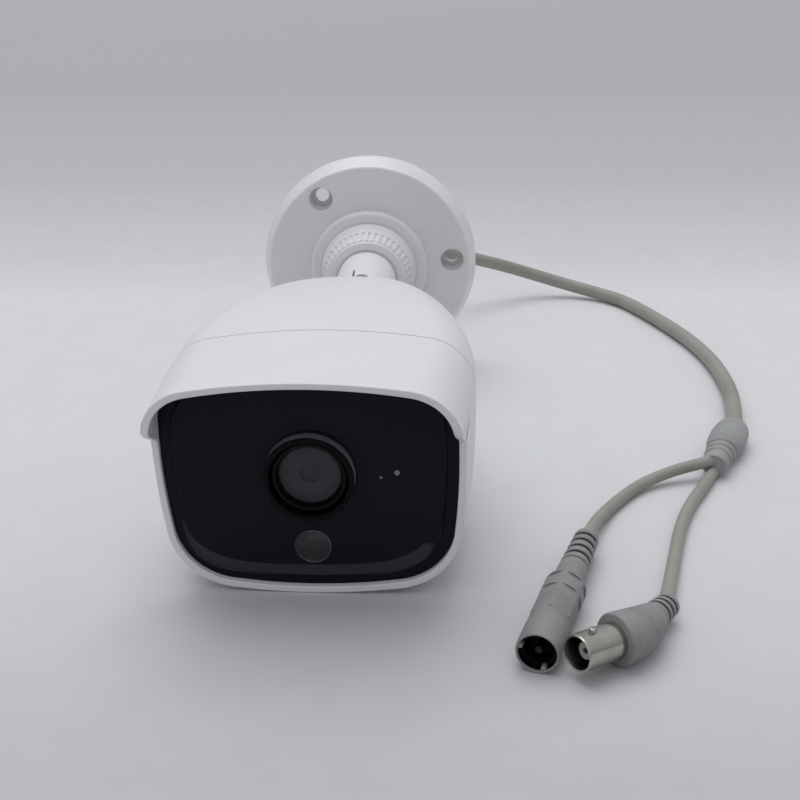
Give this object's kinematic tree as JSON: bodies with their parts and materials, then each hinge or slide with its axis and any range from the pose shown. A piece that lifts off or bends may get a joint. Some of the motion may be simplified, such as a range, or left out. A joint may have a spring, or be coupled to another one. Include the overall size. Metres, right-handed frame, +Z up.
{
  "type": "security camera",
  "caption": "Bullet security camera with a hooded white head and dark window on a swivelling, tilting wall bracket, its cable splitting into a video socket and a power socket.",
  "frame": {"origin": "middle of the underside of the box round the camera and its bracket, on the table; the cable outside the base is left out of that box", "axes": "+X to the right as seen from in front of the lens, +Y from the lens towards the wall base, +Z up"},
  "size_m": [0.1958, 0.3475, 0.0884],
  "materials": {
    "white_shell": "satin, fine texture",
    "black_rubber": "matt",
    "lead_jacket": "matt",
    "connector_grey": "matt, moulded",
    "washer_plastic": "matt",
    "steel": "bright",
    "brass": "plain",
    "window_black": "gloss",
    "black_plastic": "matt",
    "lens_black": "black anodised",
    "lens_glass": "polished",
    "filter_glass_red": "polished",
    "filter_glass_clear": "polished",
    "coil_copper": "enamelled wire",
    "board_green": "solder mask",
    "lamp_resin": "clear resin",
    "pale_plastic": "plain",
    "nickel": "nickel plated"
  },
  "bodies": {
    "base": {"wall_base": "white_shell", "base_grommet": "black_rubber", "bracket_lead": "lead_jacket", "friction_washer": "washer_plastic", "main_cable": "lead_jacket", "cable_splitter": "connector_grey", "power_lead": "lead_jacket", "power_jack_body": "connector_grey", "power_jack_liner": "black_plastic", "power_jack_pin": "brass", "video_lead": "lead_jacket", "video_boot": "connector_grey", "video_jack_shell": "nickel", "video_jack_dielectric": "pale_plastic", "video_jack_contact": "brass"},
    "ring": {"lock_ring": "white_shell"},
    "neck": {"swivel_neck": "white_shell"},
    "screw": {"tilt_screw": "steel"},
    "knuckle": {"tilt_knuckle": "white_shell", "tilt_insert": "brass", "stem_seal": "black_rubber", "stem_retainer": "steel", "stem_lead": "lead_jacket", "cable_gland": "black_rubber"},
    "head": {"rear_housing": "white_shell", "housing_seal": "black_rubber", "front_cover": "white_shell", "cover_screws": "steel", "window": "window_black", "window_gasket": "black_rubber", "lens_shroud": "black_plastic", "lens_barrel": "lens_black", "lens_front_glass": "lens_glass", "lens_rear_glass": "lens_glass", "lens_holder": "black_plastic", "filter_frame": "black_plastic", "filter_coil": "coil_copper", "image_sensor": "black_plastic", "sensor_board": "board_green", "led_board": "board_green", "infrared_led": "lamp_resin", "led_lens": "lens_glass", "light_sensor": "lamp_resin", "microphone": "black_plastic", "chassis_plate": "steel", "main_board": "board_green", "board_spacers": "steel", "board_screws": "steel", "ribbon_plugs": "black_plastic", "lamp_ribbon": "pale_plastic", "main_plug": "pale_plastic", "head_lead": "lead_jacket"},
    "filter": {"filter_slide": "black_plastic", "filter_glass_day": "filter_glass_red", "filter_glass_night": "filter_glass_clear"}
  },
  "joints": [
    {"name": "pan", "type": "hinge", "parent": "base", "child": "neck", "pos_m": [0.00227, 0.10876, 0.04426], "axis": [0, -0.9992, -0.0387], "range_deg": [-90, 270]},
    {"name": "lock_ring_turn", "type": "hinge", "parent": "base", "child": "ring", "pos_m": [0.00227, 0.10876, 0.04426], "axis": [0, -0.9992, -0.0387], "range_deg": [0, 90]},
    {"name": "tilt_screw_turn", "type": "hinge", "parent": "neck", "child": "screw", "pos_m": [0.00227, 0.048, 0.04191], "axis": [0, 0.0387, -0.9992], "range_deg": [0, 360]},
    {"name": "tilt", "type": "hinge", "parent": "neck", "child": "knuckle", "pos_m": [0.00227, 0.048, 0.04191], "axis": [0, 0.0387, -0.9992], "range_deg": [-2.2, 87.8]},
    {"name": "roll", "type": "hinge", "parent": "knuckle", "child": "head", "pos_m": [0.00227, 0.048, 0.04191], "axis": [-0.0384, -0.9985, -0.0387], "range_deg": [-180, 180]},
    {"name": "filter_shift", "type": "slide", "parent": "head", "child": "filter", "axis": [0.9991, -0.039, 0.016], "range_m": [0, 0.009]}
  ]
}
